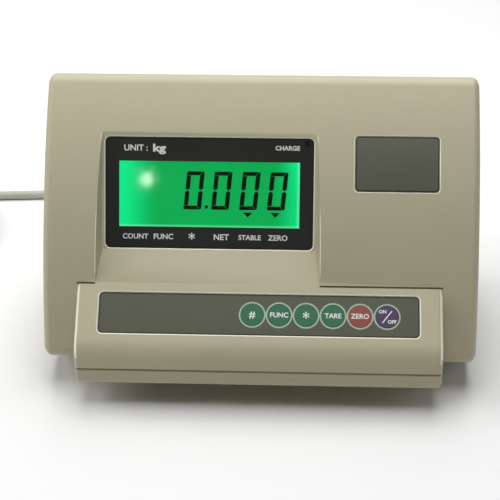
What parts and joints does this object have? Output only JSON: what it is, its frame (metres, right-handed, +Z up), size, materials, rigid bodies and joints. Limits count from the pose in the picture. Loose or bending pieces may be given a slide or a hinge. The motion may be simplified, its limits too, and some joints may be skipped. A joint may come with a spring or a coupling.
{
  "type": "weighing indicator",
  "caption": "Desk weighing indicator: curved sloping housing in two shells, sunk backlit display, round membrane keys on a console lip, bare plate, rear sockets and a mains lead.",
  "frame": {"origin": "middle of the footprint of the housing and its rear fittings, on the surface that the rubber feet stand on", "axes": "+X to the right of someone who reads the display, +Y to the rear wall, +Z up"},
  "size_m": [0.479, 0.2497, 0.1638],
  "materials": {
    "housing_face": "fine moulded texture",
    "housing_base": "fine moulded texture",
    "overlay_dark": "printed film, satin",
    "lens_clear": "clear, glossy",
    "lamp": "tinted, unlit",
    "crystal": "lit green behind glass",
    "light_plate": "lit green",
    "white_plastic": "plain",
    "pink_rubber": "plain",
    "board_green": "solder mask",
    "zinc": "zinc plated",
    "pad_grey": "printed film, satin",
    "key_green": "printed film, satin",
    "key_red": "printed film, satin",
    "key_violet": "printed film, satin",
    "spring_steel": "bright",
    "circuit_film": "clear amber film",
    "plate_grey": "printed film, satin",
    "component_black": "moulded",
    "iron_copper": "varnished laminations",
    "glass_tube": "clear",
    "battery_case": "moulded",
    "foam": "closed cell foam",
    "lead_red": "insulated wire",
    "plated_shell": "tin plated",
    "brass": "bright",
    "lead_grey": "soft PVC",
    "dark_screw": "zinc plated",
    "foot_rubber": "matt"
  },
  "bodies": {
    "housing": {"front_shell": "housing_face", "rear_shell": "housing_base", "display_overlay": "overlay_dark", "display_lens": "lens_clear", "status_lamp": "lamp", "lcd_glass": "crystal", "lcd_backlight": "light_plate", "lcd_frame": "white_plastic", "rubber_connectors": "pink_rubber", "display_board": "board_green", "display_screws": "zinc", "keypad_overlay": "pad_grey", "keypad_spacer": "white_plastic", "snap_domes": "spring_steel", "keypad_circuit": "circuit_film", "keypad_tail": "circuit_film", "face_plate": "plate_grey", "main_board": "board_green", "board_parts": "component_black", "board_screws": "zinc", "sounder": "component_black", "transformer": "iron_copper", "transformer_screws": "zinc", "fuse_holder": "component_black", "fuse": "glass_tube", "battery": "battery_case", "battery_pads": "foam", "battery_leads": "lead_red", "battery_door": "housing_base", "door_screws": "zinc", "load_cell_socket": "plated_shell", "serial_socket": "plated_shell", "socket_jacks": "brass", "strain_relief": "lead_grey", "power_cord": "lead_grey", "power_cord_coil": "lead_grey", "power_plug": "lead_grey", "plug_pins": "brass", "shell_screws": "dark_screw", "rubber_feet": "foot_rubber", "bracket_inserts": "brass"},
    "key_hash": {"key_hash": "key_green"},
    "key_function": {"key_function": "key_green"},
    "key_star": {"key_star": "key_green"},
    "key_tare": {"key_tare": "key_green"},
    "key_zero": {"key_zero": "key_red"},
    "key_power": {"key_power": "key_violet"}
  },
  "joints": [
    {"name": "key_hash_press", "type": "slide", "parent": "housing", "child": "key_hash", "axis": [0, 0.6143, -0.7891], "range_m": [0, 0.0004], "stiffness_N_per_m": 300},
    {"name": "key_function_press", "type": "slide", "parent": "housing", "child": "key_function", "axis": [0, 0.6143, -0.7891], "range_m": [0, 0.0004], "stiffness_N_per_m": 300},
    {"name": "key_star_press", "type": "slide", "parent": "housing", "child": "key_star", "axis": [0, 0.6143, -0.7891], "range_m": [0, 0.0004], "stiffness_N_per_m": 300},
    {"name": "key_tare_press", "type": "slide", "parent": "housing", "child": "key_tare", "axis": [0, 0.6143, -0.7891], "range_m": [0, 0.0004], "stiffness_N_per_m": 300},
    {"name": "key_zero_press", "type": "slide", "parent": "housing", "child": "key_zero", "axis": [0, 0.6143, -0.7891], "range_m": [0, 0.0004], "stiffness_N_per_m": 300},
    {"name": "key_power_press", "type": "slide", "parent": "housing", "child": "key_power", "axis": [0, 0.6143, -0.7891], "range_m": [0, 0.0004], "stiffness_N_per_m": 300}
  ]
}
